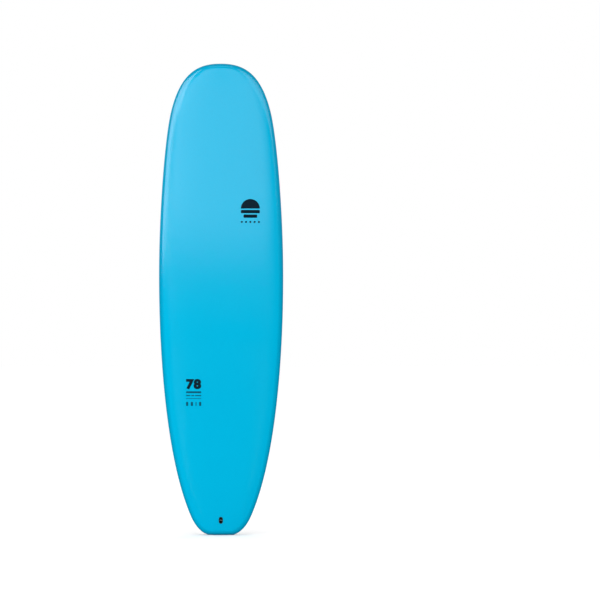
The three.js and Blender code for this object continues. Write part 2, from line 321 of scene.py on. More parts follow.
class Paint(Tree):
    """A procedural material: a principled shader with texture nodes in object space."""

    def __init__(self, name, color, rough, metal=0.0, specular=0.5):
        self.material = bpy.data.materials.new(name)
        self.material.use_nodes = True
        super().__init__(self.material.node_tree)
        self.shader = self.nodes["Principled BSDF"]
        self.color = (*color, 1)
        self.set("Base Color", self.color)
        self.set("Roughness", rough)
        self.set("Metallic", metal)
        self.set("Specular IOR Level", specular)
        self.coordinates = self.new("ShaderNodeTexCoord").outputs["Object"]
        self.height = None

    def set(self, socket, value):
        self.shader.inputs[socket].default_value = value
        return self

    def mapped(self, stretch):
        mapping = self.new("ShaderNodeMapping")
        mapping.inputs["Scale"].default_value = stretch
        self.links.new(self.coordinates, mapping.inputs["Vector"])
        return mapping.outputs["Vector"]

    def noise(self, scale, detail=2.0, stretch=(1, 1, 1)):
        node = self.new("ShaderNodeTexNoise")
        node.inputs["Scale"].default_value = scale
        node.inputs["Detail"].default_value = detail
        self.links.new(self.mapped(stretch), node.inputs["Vector"])
        return node.outputs["Fac"]

    def cells(self, scale, feature="F1"):
        node = self.new("ShaderNodeTexVoronoi")
        node.feature = feature
        node.inputs["Scale"].default_value = scale
        self.links.new(self.coordinates, node.inputs["Vector"])
        return node.outputs["Distance"]

    def bands(self, scale, distortion, direction):
        node = self.new("ShaderNodeTexWave")
        node.bands_direction = direction
        node.inputs["Scale"].default_value = scale
        node.inputs["Distortion"].default_value = distortion
        self.links.new(self.coordinates, node.inputs["Vector"])
        return node.outputs["Fac"]

    def attribute(self, name):
        node = self.new("ShaderNodeAttribute")
        node.attribute_name = name
        return node.outputs["Fac"]

    def facing(self, axis):
        """How squarely the surface faces along an axis of the board, from 0 to 1."""
        normal = self.new("ShaderNodeNewGeometry").outputs["Normal"]
        return self.math("ABSOLUTE", self.split(normal)[axis])

    def tint(self, source, low, high, other):
        """Blends the colour towards another as the source runs from low to high."""
        node = self.new("ShaderNodeMix")
        node.data_type = "RGBA"
        current = self.shader.inputs["Base Color"]
        if current.links:
            self.links.new(current.links[0].from_socket, node.inputs["A"])
        else:
            node.inputs["A"].default_value = self.color
        node.inputs["B"].default_value = (*other, 1)
        self.links.new(self.ramp(source, low, high, 0, 1), node.inputs["Factor"])
        self.links.new(node.outputs["Result"], current)
        return self

    def vary(self, socket, source, low, high, value_low, value_high):
        """Drives a socket of the shader from value_low to value_high as the source runs low to high."""
        value = self.ramp(source, low, high, value_low, value_high)
        self.links.new(value, self.shader.inputs[socket])
        return self

    def roughness(self, source, low, high, value_low, value_high):
        return self.vary("Roughness", source, low, high, value_low, value_high)

    def bump(self, source, depth, strength=1.0):
        """Adds relief of a depth in metres."""
        node = self.new("ShaderNodeBump")
        node.inputs["Strength"].default_value = strength
        node.inputs["Distance"].default_value = depth
        self.links.new(source, node.inputs["Height"])
        if self.height:
            self.links.new(self.height, node.inputs["Normal"])
        self.height = node.outputs["Normal"]
        self.links.new(self.height, self.shader.inputs["Normal"])
        return self


SHEEN = ((0.85, 0.03), (1.15, 0.2))  # the deck's specular level at two heights in metres


def skin_paint():
    """Blue closed-cell foam film with a fine pebbled emboss, shinier in the nose half, with painted shade
    darkening it at the outline and where it turns sideways.
    """
    p = Paint("deck_foam", (0.0, 0.37, 0.595), 0.09)
    p.tint(p.noise(2.5), 0.35, 0.75, (0.0, 0.38, 0.605))
    p.tint(p.noise(420, 3), 0.55, 0.75, (0.0, 0.333, 0.538))
    # Painted shade: the colour darkens towards the outline, where the rails turn away from the light
    p.tint(p.attribute("rim"), 0, 0.85, (0.0, 0.25, 0.41))
    # Painted shade: the colour darkens where the surface turns from facing the camera's way to the side,
    # as on the rails
    p.tint(p.facing("Y"), 0.7, 0.35, (0.0, 0.23, 0.37))
    p.roughness(p.noise(9, 3), 0.3, 0.7, 0.08, 0.1)
    (matt_z, matt), (shiny_z, shiny) = SHEEN
    p.vary("Specular IOR Level", p.split(p.coordinates)["Z"], matt_z, shiny_z, matt, shiny)
    p.bump(p.cells(620), 0.000022, 0.5)
    p.bump(p.noise(1500, 2), 0.00002, 0.4)
    p.bump(p.noise(22, 2), 0.0004, 0.25)
    return p


def slick_paint():
    """White high-density polyethylene sheet, glossy with a faint ripple from lamination."""
    p = Paint("bottom_sheet", (0.86, 0.87, 0.89), 0.26, specular=0.4)
    p.tint(p.noise(3), 0.4, 0.8, (0.84, 0.852, 0.873))
    p.roughness(p.noise(14, 2, (1.4, 1, 0.7)), 0.3, 0.75, 0.26, 0.3)
    p.bump(p.noise(24, 1, (1.2, 1, 0.8)), 0.0003, 0.05)
    p.bump(p.noise(900, 2), 0.00003, 0.3)
    return p


def guard_paint():
    """Black moulded rubber with a fine stipple."""
    p = Paint("guard", (0.011, 0.012, 0.014), 0.55)
    p.tint(p.noise(60, 3), 0.5, 0.8, (0.02, 0.022, 0.024))
    p.roughness(p.noise(25, 3), 0.3, 0.7, 0.48, 0.66)
    p.bump(p.cells(900), 0.00015, 0.7)
    return p


def backing_paint():
    """Thin white foam with fine cells."""
    p = Paint("backing_foam", (0.82, 0.82, 0.79), 0.8)
    p.tint(p.cells(700), 0.2, 0.7, (0.7, 0.7, 0.67))
    return p.bump(p.cells(700), 0.0003, 0.7)


def core_paint():
    """Fused white foam beads, about 3 mm each."""
    p = Paint("core_foam", (0.88, 0.88, 0.85), 0.85)
    p.tint(p.cells(330, "DISTANCE_TO_EDGE"), 0.12, 0.0, (0.7, 0.7, 0.67))
    p.bump(p.cells(330, "DISTANCE_TO_EDGE"), 0.0005, 0.7)
    return p


def wood_paint():
    """Thin plywood with the grain along the board."""
    p = Paint("stringer_wood", (0.56, 0.33, 0.14), 0.6)
    p.tint(p.bands(90, 5.0, "Y"), 0.2, 0.9, (0.42, 0.22, 0.08))
    p.tint(p.noise(300, 5, (1, 1, 0.03)), 0.45, 0.75, (0.3, 0.15, 0.05))
    return p.bump(p.noise(500, 3, (1, 1, 0.03)), 0.0001, 0.6)


def cup_paint():
    """Black glass-filled nylon with a spark-eroded texture."""
    p = Paint("leash_cup", (0.008, 0.009, 0.011), 0.38)
    p.tint(p.noise(400, 3), 0.5, 0.8, (0.02, 0.021, 0.023))
    p.roughness(p.noise(250, 3), 0.3, 0.7, 0.3, 0.5)
    return p.bump(p.noise(2600, 2), 0.00004, 0.6)


def steel_paint():
    """Stainless steel, brushed across the board."""
    p = Paint("steel", (0.62, 0.63, 0.65), 0.26, metal=1.0)
    p.tint(p.noise(700, 3), 0.45, 0.75, (0.5, 0.51, 0.53))
    p.roughness(p.noise(1200, 3, (0.1, 1, 1)), 0.3, 0.7, 0.2, 0.36)
    return p.bump(p.noise(2200, 2, (0.06, 1, 1)), 0.00003, 0.6)


def plug_paint():
    """White glass-filled nylon."""
    p = Paint("fin_plug", (0.82, 0.83, 0.85), 0.38)
    p.tint(p.noise(300, 3), 0.5, 0.8, (0.74, 0.75, 0.77))
    p.roughness(p.noise(200, 3), 0.3, 0.7, 0.32, 0.48)
    return p.bump(p.noise(2000, 2), 0.00004, 0.5)


def fin_paint():
    """Smoky blue glass-filled nylon, slightly see-through."""
    p = Paint("fin", (0.17, 0.30, 0.355), 0.3)
    p.set("Transmission Weight", 0.22)
    p.set("IOR", 1.5)
    p.tint(p.noise(38, 4), 0.4, 0.75, (0.13, 0.245, 0.30))
    p.tint(p.noise(900, 3, (1, 1, 0.2)), 0.55, 0.8, (0.23, 0.37, 0.42))
    p.roughness(p.noise(60, 3), 0.3, 0.7, 0.24, 0.38)
    return p.bump(p.noise(1400, 2, (1, 1, 0.3)), 0.00004, 0.5)


def ink_paint(name, color):
    """Screen ink, a little thin in the pores of the surface."""
    p = Paint(name, color, 0.5, specular=0.06)
    p.tint(p.noise(1800, 3), 0.58, 0.8, tuple(c * 2.2 + 0.001 for c in color))
    p.roughness(p.noise(500, 2), 0.3, 0.7, 0.42, 0.6)
    return p.bump(p.noise(1500, 2), 0.00004, 0.4)


PAINTS = {
    "deck_foam": skin_paint(),
    "bottom_sheet": slick_paint(),
    "backing_foam": backing_paint(),
    "guard": guard_paint(),
    "core_foam": core_paint(),
    "stringer_wood": wood_paint(),
    "leash_cup": cup_paint(),
    "steel": steel_paint(),
    "fin_plug": plug_paint(),
    "fin": fin_paint(),
}
DECK_INK = ink_paint("deck_ink", (0.0, 0.01, 0.02))
DECK_FINE_INK = ink_paint("deck_fine_ink", (0.0, 0.07, 0.12))
BOTTOM_INK = ink_paint("bottom_ink", (0.004, 0.005, 0.006))
PALE_INK = ink_paint("pale_ink", (0.7, 0.71, 0.72))


def place(made, slot, body="board", paint=None, replaces=()):
    """Finishes a piece: the material of its slot and the body it moves with."""
    made.data.materials.clear()
    made.data.materials.append((paint or PAINTS[slot]).material)
    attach(made, body)
    if replaces:
        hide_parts(*replaces)
    return made


# ---- Deck skin: over the deck, round the rails and ends, and in under the bottom ----
SKIN_DEPTH = 4
LIP_TURN = math.pi / 4  # how far round the tuck's quarter circle the skin reaches
DECK_RINGS = 34
RIM_SHADE_WIDTH = 22  # painted shade: the film's colour is darkened most at the outline and not at all this far in
LIP_RINGS = 10


def deck_skin():
    bm = bmesh.new()
    # rim holds each row's share of the painted shade at the outline
    rows, rim = [], []
    lip = LIP - GAP
    for k in range(LIP_RINGS, -1, -1):
        rail = lip * (1 - math.cos(LIP_TURN * k / LIP_RINGS)) / (1 - math.cos(LIP_TURN))
        x, z = drawn_in(rail, rail * (END_LIP - GAP) / lip)
        rows.append(np.column_stack([x, bottom_y(x, z), z]))
        rim.append(1.0)
    for k in range(DECK_RINGS + 1):
        rail = HALF * (1 - math.cos(math.pi / 2 * k / DECK_RINGS) ** (2 / DECK_CROWN))
        x, z = drawn_in(rail, rail)
        rows.append(np.column_stack([x, deck_y(x, z), z]))
        rim.append(max(0, 1 - rail / RIM_SHADE_WIDTH))
    grid(bm, rows, closed_columns=True, rim=rim)
    bmesh.ops.remove_doubles(bm, verts=bm.verts, dist=SAME_SHEET_POINT)
    face_outwards(bm, deck_line, THICKEST_Z, -1)
    return thicken(new_object("deck_skin_visual", bm), SKIN_DEPTH)


# ---- Bottom sheet and the guards ----
SLICK_DEPTH = 1.1
GUARD_DEPTH = 3.9
SHEET_RINGS = (0, 1.5, 3, 5, 7, 9.5, 12.5, 16, 20, 26, 36, 60, 110, 180, 255.5)
CENTRE_LINE_END = 200  # the innermost ring is a line that stops this far from each end
GUARD_ZONE = 100  # how far from each end the sheet's edge can meet a guard
GUARD_MIDDLE = 12  # how far from each end the middle of a guard lies
GUARD_HALF_SPAN = 130
GUARD_SEARCH_STEPS = 1040
GUARD_STEPS = 96
GUARD_RINGS = (0, 0.06, 0.14, 0.25, 0.4, 0.55, 0.7, 0.85, 1)
GUARD_THINNEST = 0.05  # where the crescent's points end


def nose_arc(x, margin=0):
    radius = NOSE_GUARD["radius"] - margin
    return LENGTH - NOSE_GUARD["depth"] - NOSE_GUARD["radius"] + np.sqrt(radius**2 - x * x)


def tail_arc(x, margin=0):
    radius = TAIL_GUARD["radius"] - margin
    return TAIL_GUARD["depth"] + TAIL_GUARD["radius"] - np.sqrt(radius**2 - x * x)


def bottom_sheet():
    """The sheet's rows run in from its edge to a line along the middle of the board."""
    x0, z0 = drawn_in(LIP, END_LIP)
    at_nose = z0 > LENGTH - GUARD_ZONE
    at_tail = z0 < GUARD_ZONE
    z0 = np.where(at_nose, np.minimum(z0, nose_arc(np.where(at_nose, x0, 0), GAP)), z0)
    z0 = np.where(at_tail, np.maximum(z0, tail_arc(np.where(at_tail, x0, 0), GAP)), z0)
    middle = np.clip(z0, CENTRE_LINE_END, LENGTH - CENTRE_LINE_END)
    bm = bmesh.new()
    rows = []
    for inward in SHEET_RINGS:
        share = inward / SHEET_RINGS[-1]
        x, z = x0 * (1 - share), z0 + (middle - z0) * share
        rows.append(np.column_stack([x, bottom_y(x, z), z]))
    grid(bm, rows, closed_columns=True)
    bmesh.ops.remove_doubles(bm, verts=bm.verts, dist=SAME_SHEET_POINT)
    face_outwards(bm, bottom_line, THICKEST_Z, 1)
    return thicken(new_object("bottom_slick_visual", bm), SLICK_DEPTH)


def guard(name, arc, at_nose):
    """A crescent between the edge of the board's underside and a round inner edge."""
    edge_x, edge_z = drawn_in(LIP, END_LIP)
    near = (edge_z > LENGTH - 2 * GUARD_ZONE) if at_nose else (edge_z < 2 * GUARD_ZONE)
    order = np.argsort(edge_x[near])
    edge_x, edge_z = edge_x[near][order], edge_z[near][order]
    span = np.linspace(-GUARD_HALF_SPAN, GUARD_HALF_SPAN, GUARD_SEARCH_STEPS + 1)
    outer = np.interp(span, edge_x, edge_z)
    gap = outer - arc(span) if at_nose else arc(span) - outer
    inside = span[gap > GUARD_THINNEST]
    along = (1 - np.cos(np.linspace(0, math.pi, GUARD_STEPS + 1))) / 2
    x = inside[0] + (inside[-1] - inside[0]) * along
    outer = np.interp(x, edge_x, edge_z)
    inner = arc(x)
    bm = bmesh.new()
    rows = []
    for share in GUARD_RINGS:
        z = outer + (inner - outer) * share
        rows.append(np.column_stack([x, bottom_y(x, z), z]))
    grid(bm, rows)
    face_outwards(bm, bottom_line, LENGTH - GUARD_MIDDLE if at_nose else GUARD_MIDDLE, 1)
    return thicken(new_object(name, bm), GUARD_DEPTH)


# ---- Fin system ----
SIDE_FIN = {"x": 150, "z": 361, "toe": 3.3, "cant": 5}
CENTRE_FIN = {"x": 0, "z": 159, "toe": 0, "cant": 0}
FINS = (("left", -1, SIDE_FIN), ("right", 1, SIDE_FIN), ("centre", 0, CENTRE_FIN))
FIN_THICK = 6.7
FIN_EDGE = 1
FIN_LIFT = 0.8
TAB = {"thick": 5, "length": 22, "depth": 13.5, "spacing": 62}
TAB_OVERLAP = 2  # how far a tab reaches up into the blade
TAB_ROUND = 0.7
SLOT_ROUND = 0.4
PLUG = {"radius": 14, "depth": 17, "sink": 0.3, "foot": 1, "rim": 0.5}
RIM_TURNS = (0.4, 0.8, 1.2, 1.57)  # the angles of the points round a plug's rim, in radians
GROOVE = ((2.2, 0), (2.4, 0.25), (2.9, 0.25), (3.1, 0))  # a plug's ring: inwards from its wall, depth
SCREW = {"radius": 2.5, "length": 6.4, "hex": 2.5, "socket": 2.5, "offset": 9, "tilt": 30, "start": 1.6}
SCREW_ROOM = 1  # how far a screw's hole goes on below it
THREAD = {"pitch": 0.8, "depth": 0.3, "chamfer": 0.5, "crest": 0.2, "root": 0.55}
LEADING = ((53, 0), (36, 62), (-8, 114), (-58, 110))
TRAILING = ((-53, 0), (-36, 40), (-44, 82), (-66, 103))
FIN_ROWS = 40
FIN_COLUMNS = 30
FOIL_FORWARD = 0.7  # below 1 moves the thickest part of a fin towards its leading edge
FOIL_FULLNESS = 0.6  # below 1 fills the foil out
TIP_THINNING = 0.55  # the share of its thickness that the foil loses at the tip
TIP_ROUND = 1.2
TIP_TURNS = (30, 60, 85)
TIP_CREASE = 40
PLUG_SIDES = 72


def turned(axis, degrees):
    return Matrix.Rotation(math.radians(degrees), 4, axis)


def station_matrix(side, measures):
    """The frame of a fin's place on the bottom: x across, y out of the bottom, z forwards."""
    z = measures["z"]
    at = Vector((side * measures["x"], bottom_line(z), z))
    tilt = Matrix.Rotation(-math.atan(slope(bottom_line, z)), 4, "X")
    return Matrix.Translation(at) @ tilt @ turned("Y", -side * measures["toe"])


def rounded_box(bm, size, centre, bevel):
    """Adds a box with its edges rounded."""
    made = bmesh.ops.create_cube(bm, size=1)["verts"]
    bmesh.ops.scale(bm, vec=size, verts=made)
    bmesh.ops.translate(bm, vec=centre, verts=made)
    edges = list({e for v in made for e in v.link_edges})
    bmesh.ops.bevel(bm, geom=edges, offset=bevel, segments=3, affect="EDGES", profile=0.5)


def fin_row(span, squeeze=1.0, push=0.0):
    """One closed loop round the foil: up one face from the leading edge and back down the other."""
    front = bezier(LEADING, [span])[0]
    back = bezier(TRAILING, [span])[0]
    chord = (1 - np.cos(np.linspace(0, math.pi, FIN_COLUMNS))) / 2
    share = np.maximum(0, np.sin(math.pi * chord**FOIL_FORWARD)) ** FOIL_FULLNESS
    half = (FIN_EDGE + (FIN_THICK - FIN_EDGE) * share * (1 - TIP_THINNING * span * span)) / 2 * squeeze
    along = front[0] + (back[0] - front[0]) * chord
    up = front[1] + (back[1] - front[1]) * chord + FIN_LIFT + push
    face = np.column_stack([half, up, along])
    leading = (0, front[1] + FIN_LIFT + push, front[0] + FIN_EDGE * 0.5 * squeeze)
    trailing = (0, back[1] + FIN_LIFT + push, back[0] - FIN_EDGE * 0.5 * squeeze)
    return [leading, *face.tolist(), trailing, *(face[::-1] * (-1, 1, 1)).tolist()]


def fin(name, matrix):
    """A foiled blade with a rounded tip, standing on two tabs."""
    bm = bmesh.new()
    rows = [fin_row(s) for s in np.linspace(0, 1, FIN_ROWS)]
    for turn in TIP_TURNS:
        angle = math.radians(turn)
        rows.append(fin_row(1, math.cos(angle), TIP_ROUND * math.sin(angle)))
    made = grid(bm, rows, closed_columns=True)
    bm.faces.new(made[0])
    bm.faces.new(made[-1])
    for end in (1, -1):
        height = TAB["depth"] + FIN_LIFT + TAB_OVERLAP
        centre = (0, height / 2 - TAB["depth"], end * TAB["spacing"] / 2)
        rounded_box(bm, (TAB["thick"], height, TAB["length"]), centre, TAB_ROUND)
    bmesh.ops.recalc_face_normals(bm, faces=bm.faces)
    bmesh.ops.transform(bm, matrix=matrix, verts=bm.verts)
    return new_object(name, bm, TIP_CREASE)


def lathe(bm, profile, sides, matrix):
    """Adds a turned solid about y from (radius, y) pairs that start and end on the axis."""
    turns = [2 * math.pi * k / sides for k in range(sides)]
    rows = [[(r * math.sin(a), y, r * math.cos(a)) for a in turns] for r, y in profile]
    made = grid(bm, rows, closed_columns=True)
    bmesh.ops.transform(bm, matrix=matrix, verts=[v for row in made for v in row])


def cutter(profile, sides, matrix):
    bm = bmesh.new()
    lathe(bm, profile, sides, matrix)
    close_solid(bm)
    return new_object("cutter", bm)


def rod_cutter(radius, low, high, sides, matrix):
    return cutter([(0, low), (radius, low), (radius, high), (0, high)], sides, matrix)


def slot_cutter(size, matrix):
    bm = bmesh.new()
    rounded_box(bm, size, (0, 0, 0), SLOT_ROUND)
    bmesh.ops.transform(bm, matrix=matrix, verts=bm.verts)
    bmesh.ops.recalc_face_normals(bm, faces=bm.faces)
    return new_object("cutter", bm)


def screw_matrix(sideways):
    """A screw starts beside its fin's tab and slants down towards it."""
    beside = Matrix.Translation((sideways * SCREW["offset"], 0, 0))
    return beside @ turned("Z", -sideways * SCREW["tilt"])


def fin_plug(name, matrix, cant, sideways):
    """A round plug with a rounded rim, a ring groove, the tab's slot and the screw's hole."""
    top, radius, rim, foot = -PLUG["sink"], PLUG["radius"], PLUG["rim"], PLUG["foot"]
    low = top - PLUG["depth"]
    profile = [(0, low), (radius - foot, low), (radius, low + foot), (radius, top - rim)]
    for a in RIM_TURNS:
        profile.append((radius - rim * (1 - math.cos(a)), top - rim + rim * math.sin(a)))
    profile += [(radius - inwards, top - depth) for inwards, depth in GROOVE]
    bm = bmesh.new()
    lathe(bm, [*profile, (0, top)], PLUG_SIDES, matrix)
    close_solid(bm)
    made = new_object(name, bm)
    canted = matrix @ cant
    slot_depth = TAB["depth"] + 2 * GAP
    slot_size = (TAB["thick"] + 2 * GAP, 2 * slot_depth, TAB["length"] + 2 * GAP)
    slot = slot_cutter(slot_size, canted)
    hole_end = -SCREW["start"] - SCREW["length"] - SCREW_ROOM
    hole = rod_cutter(SCREW["radius"] + GAP, hole_end, OVERCUT, SIDES, canted @ screw_matrix(sideways))
    return cut(made, slot, hole)


def grub_screw(name, matrix, sideways):
    """A socket set screw: chamfered ends, thread rings and a hexagonal socket."""
    top, radius = -SCREW["start"], SCREW["radius"]
    low = top - SCREW["length"]
    pitch, groove, chamfer = THREAD["pitch"], THREAD["depth"], THREAD["chamfer"]
    profile = [(0, top), (radius - chamfer, top), (radius - chamfer / 2, top - chamfer / 2)]
    y = top - chamfer
    while y > low + pitch:
        profile += [(radius, y), (radius, y - pitch * THREAD["crest"])]
        profile.append((radius - groove, y - pitch * THREAD["root"]))
        y -= pitch
    profile += [(radius - 2 * groove, low), (0, low)]
    place_of_screw = matrix @ screw_matrix(sideways)
    bm = bmesh.new()
    lathe(bm, profile[::-1], SIDES, place_of_screw)
    close_solid(bm)
    made = new_object(name, bm)
    hex_radius = SCREW["hex"] / math.sqrt(3)
    return cut(made, rod_cutter(hex_radius, top - SCREW["socket"], OVERCUT, 6, place_of_screw))


def plug_hole(matrix):
    return rod_cutter(PLUG["radius"] + GAP, -OVERCUT, OVERCUT, PLUG_SIDES, matrix)


def fin_system(slick):
    """The three fins, their plugs and screws, and the plugs' holes in the bottom sheet."""
    for name, side, measures in FINS:
        station = station_matrix(side, measures)
        cant = turned("Z", -side * measures["cant"])
        sideways = -1 if side > 0 else 1
        blade = fin(f"fin_{name}_visual", station @ cant)
        place(blade, "fin", f"fin_{name}", replaces=[f"fin_{name}"])
        for end, where in ((1, "front"), (-1, "rear")):
            forward = Matrix.Translation((0, 0, end * TAB["spacing"] / 2))
            plug_name, screw_name = f"fin_plug_{name}_{where}", f"grub_screw_{name}_{where}"
            plug = fin_plug(plug_name + "_visual", station @ forward, cant, sideways)
            place(plug, "fin_plug", replaces=[plug_name])
            screw = grub_screw(screw_name + "_visual", station @ cant @ forward, sideways)
            place(screw, "steel", replaces=[screw_name])
            cut(slick, plug_hole(station @ forward))


# ---- Leash plug ----
LEASH_Z = 63
CUP = {
    "radius": 8.5,  # of the flange's round ends
    "body": 7,
    "pocket": 5.5,
    "reach": 5.5,  # from the middle to the centre of each round end
    "proud": 0.8,
    "flange": 1.6,
    "depth": 16,
    "floor": 13.5,
    "foot": 1,
    "mouth_round": 0.6,
    "pocket_round": 0.8,
}
PIN = {"radius": 2, "length": 13.4, "depth": 4, "chamfer": 0.4}
ARC_STEPS = 20
EDGE_STEPS = 5


def leash_matrix():
    tilt = math.pi - math.atan(slope(deck_line, LEASH_Z))
    return Matrix.Translation((0, deck_line(LEASH_Z), LEASH_Z)) @ Matrix.Rotation(tilt, 4, "X")


def oval_ring(radius, y):
    """A loop of two half circles joined by straight sides, at a height y."""
    turns = [math.pi * k / ARC_STEPS for k in range(ARC_STEPS + 1)]
    top = [(radius * math.cos(a), y, CUP["reach"] + radius * math.sin(a)) for a in turns]
    return top + [(-x, y, -z) for x, y, z in top]


def oval_solid(profile, matrix, name):
    bm = bmesh.new()
    grid(bm, [oval_ring(r, y) for r, y in profile], closed_columns=True)
    close_solid(bm)
    bmesh.ops.transform(bm, matrix=matrix, verts=bm.verts)
    return new_object(name, bm)


def rounded_edge(radius, y, edge, out):
    """A small round from a wall up to a face; out is 1 for an outer wall and -1 for an inner one."""
    turns = [math.pi / 2 * k / EDGE_STEPS for k in range(EDGE_STEPS + 1)]
    return [(radius - out * edge * (1 - math.cos(a)), y - edge * (1 - math.sin(a))) for a in turns]


def leash_cup(matrix):
    """An oval cup with a flange round its mouth."""
    proud, body, foot, pocket = CUP["proud"], CUP["body"], CUP["foot"], CUP["pocket"]
    low, floor, corner = -CUP["depth"], -CUP["floor"], CUP["pocket_round"]
    under_flange = proud - CUP["flange"]
    profile = [(0, low), (body - foot, low), (body, foot + low)]
    profile += [(body, under_flange), (CUP["radius"], under_flange)]
    profile += rounded_edge(CUP["radius"], proud, CUP["mouth_round"], 1)
    profile += rounded_edge(pocket, proud, CUP["mouth_round"], -1)[::-1]
    profile += [(pocket, corner + floor), (pocket - corner, floor), (0, floor)]
    return oval_solid(profile, matrix, "leash_cup_visual")


def leash_pin(across):
    """A round pin with chamfered ends."""
    half, radius, chamfer = PIN["length"] / 2, PIN["radius"], PIN["chamfer"]
    profile = [(0, -half), (radius - chamfer, -half), (radius, chamfer - half)]
    profile += [(radius, half - chamfer), (radius - chamfer, half), (0, half)]
    bm = bmesh.new()
    lathe(bm, profile, SIDES, across)
    close_solid(bm)
    return new_object("leash_pin_visual", bm)


def leash_plug(skin):
    """The cup and its cross pin, and the cup's well in the skin."""
    matrix = leash_matrix()
    across = matrix @ Matrix.Translation((0, -PIN["depth"], 0)) @ turned("Z", 90)
    cup = leash_cup(matrix)
    reach = CUP["radius"] + OVERCUT
    cut(cup, rod_cutter(PIN["radius"] + GAP, -reach, reach, SIDES, across))
    place(cup, "leash_cup", replaces=["leash_cup"])
    place(leash_pin(across), "steel", replaces=["leash_pin"])
    hole = CUP["radius"] + GAP
    well = [(0, -OVERCUT), (hole, -OVERCUT), (hole, OVERCUT), (0, OVERCUT)]
    cut(skin, oval_solid(well, matrix, "cutter"))


# ---- Printed marks: thin shapes of ink that follow the surface ----
INK_PROUD = 0.12
INK_DEPTH = 0.2
INK_STEP_X = 5  # shapes are split this often, so that they bend with the surface
INK_STEP_Z = 16
BAR_ROUND = 0.25  # a bar's corner radius as a share of its thickness
NUMERAL_WEIGHT = 0.065
NUMERAL_SPACING = 1.12
MARK_SIZE = 80
MARK_BAR = 0.17  # how thick the mark's bars are, as a share of its size
MARK_TO_DOTS = 58
DOTS = {"count": 5, "pitch": 18, "radius": 4.2}


def flat_polygon(bm, points):
    bm.faces.new([bm.verts.new((x, 0, z)) for x, z in points])


def bar(bm, x, z, width, height):
    """A straight bar with softly rounded ends, centred on a point."""
    r = min(width, height) * BAR_ROUND
    corners = ((1, 1, 0), (-1, 1, 90), (-1, -1, 180), (1, -1, 270))
    points = []
    for sx, sz, start in corners:
        corner_x, corner_z = x + sx * (width / 2 - r), z + sz * (height / 2 - r)
        for turn in (0, 30, 60, 90):
            a = math.radians(start + turn)
            points.append((corner_x + r * math.cos(a), corner_z + r * math.sin(a)))
    flat_polygon(bm, points)


def disc(bm, x, z, radius, stop=360, steps=56):
    """A disc, or the part of one from 0 degrees to another angle."""
    count = steps if stop == 360 else steps + 1
    turns = [math.radians(stop * k / steps) for k in range(count)]
    flat_polygon(bm, [(x + radius * math.cos(a), z + radius * math.sin(a)) for a in turns])


def numerals(bm, text, x, z, width, height, mirror=1):
    """Plain numerals scaled to a width and height, centred on a point."""
    curve = bpy.data.curves.new("numerals", "FONT")
    curve.body = text
    curve.offset = NUMERAL_WEIGHT
    curve.space_character = NUMERAL_SPACING
    letters = bpy.data.objects.new("numerals", curve)
    bpy.context.scene.collection.objects.link(letters)
    bpy.context.view_layer.update()
    mesh = bpy.data.meshes.new_from_object(letters.evaluated_get(bpy.context.evaluated_depsgraph_get()))
    points = np.array([v.co[:2] for v in mesh.vertices])
    low, high = points.min(0), points.max(0)
    points = (points - (low + high) / 2) / (high - low) * (mirror * width, height)
    made = [bm.verts.new((x + px, 0, z + pz)) for px, pz in points]
    for polygon in mesh.polygons:
        bm.faces.new([made[i] for i in polygon.vertices])
    bpy.data.objects.remove(letters)
    bpy.data.meshes.remove(mesh)


def ink(name, draw, deck, paint, raise_by=0):
    """Draws flat shapes, lays them on the deck or bottom surface and gives them ink's depth."""
    bm = bmesh.new()
    draw(bm)
    xs, zs = [v.co.x for v in bm.verts], [v.co.z for v in bm.verts]
    for axis, low, high, step in ((0, min(xs), max(xs), INK_STEP_X), (2, min(zs), max(zs), INK_STEP_Z)):
        normal = Vector((axis == 0, 0, axis == 2))
        for k in range(1, int((high - low) / step) + 1):
            geom = [*bm.verts, *bm.edges, *bm.faces]
            bmesh.ops.bisect_plane(bm, geom=geom, plane_co=normal * (low + k * step), plane_no=normal)
    bmesh.ops.triangulate(bm, faces=[f for f in bm.faces if len(f.verts) > 4])
    surface, out = (deck_y, -1) if deck else (bottom_y, 1)
    for v in bm.verts:
        v.co.y = float(surface(v.co.x, v.co.z)) + out * (INK_PROUD + raise_by)
    for f in bm.faces:
        f.normal_update()
        if f.normal.y * out < 0:
            f.normal_flip()
    made = thicken(new_object(name, bm), INK_DEPTH)
    place(made, "deck_foam" if deck else "bottom_sheet", paint=paint)


def mark(bm, x, z):
    """A plain half disc over two bars and a row of dots."""
    size = MARK_SIZE
    disc(bm, x, z - size * 0.02, size / 2, stop=180)
    bar(bm, x, z - size * 0.18, size, size * MARK_BAR)
    bar(bm, x, z - size * 0.42, size * 0.72, size * MARK_BAR)
    for k in range(DOTS["count"]):
        dot_x = x + (k - (DOTS["count"] - 1) / 2) * DOTS["pitch"]
        disc(bm, dot_x, z - MARK_TO_DOTS, DOTS["radius"], steps=20)


def dashes(bm, x, z, widths, gap, height):
    """A row of bars of different widths, centred on a point."""
    left = x - (sum(widths) + gap * (len(widths) - 1)) / 2
    for width in widths:
        bar(bm, left + width / 2, z, width, height)
        left += width + gap


INCHES = "78"  # the board's length
SIZE_X = -115
SIZE_WIDTH = 64


def deck_mark(bm):
    mark(bm, x=124, z=1376)


def deck_size(bm):
    numerals(bm, INCHES, SIZE_X, z=635, width=SIZE_WIDTH, height=44)


def deck_size_lines(bm):
    bar(bm, SIZE_X, z=601, width=SIZE_WIDTH, height=7.5)
    dashes(bm, SIZE_X, z=587, widths=(18, 12, 26), gap=4, height=4.5)
    bar(bm, SIZE_X, z=574.5, width=SIZE_WIDTH, height=2.4)
    dashes(bm, SIZE_X, z=552, widths=(9, 9, 4, 9), gap=11, height=17)


def bottom_mark(bm):
    mark(bm, x=-127, z=1390)


def bottom_badge(bm):
    disc(bm, 0, z=428, radius=25.5)
    numerals(bm, INCHES, 0, z=372, width=38, height=24, mirror=-1)
    disc(bm, 0, z=316, radius=6)
    dashes(bm, 0, z=297, widths=(9, 6, 12, 9), gap=2.5, height=5)
    bar(bm, 0, z=288, width=43, height=2)


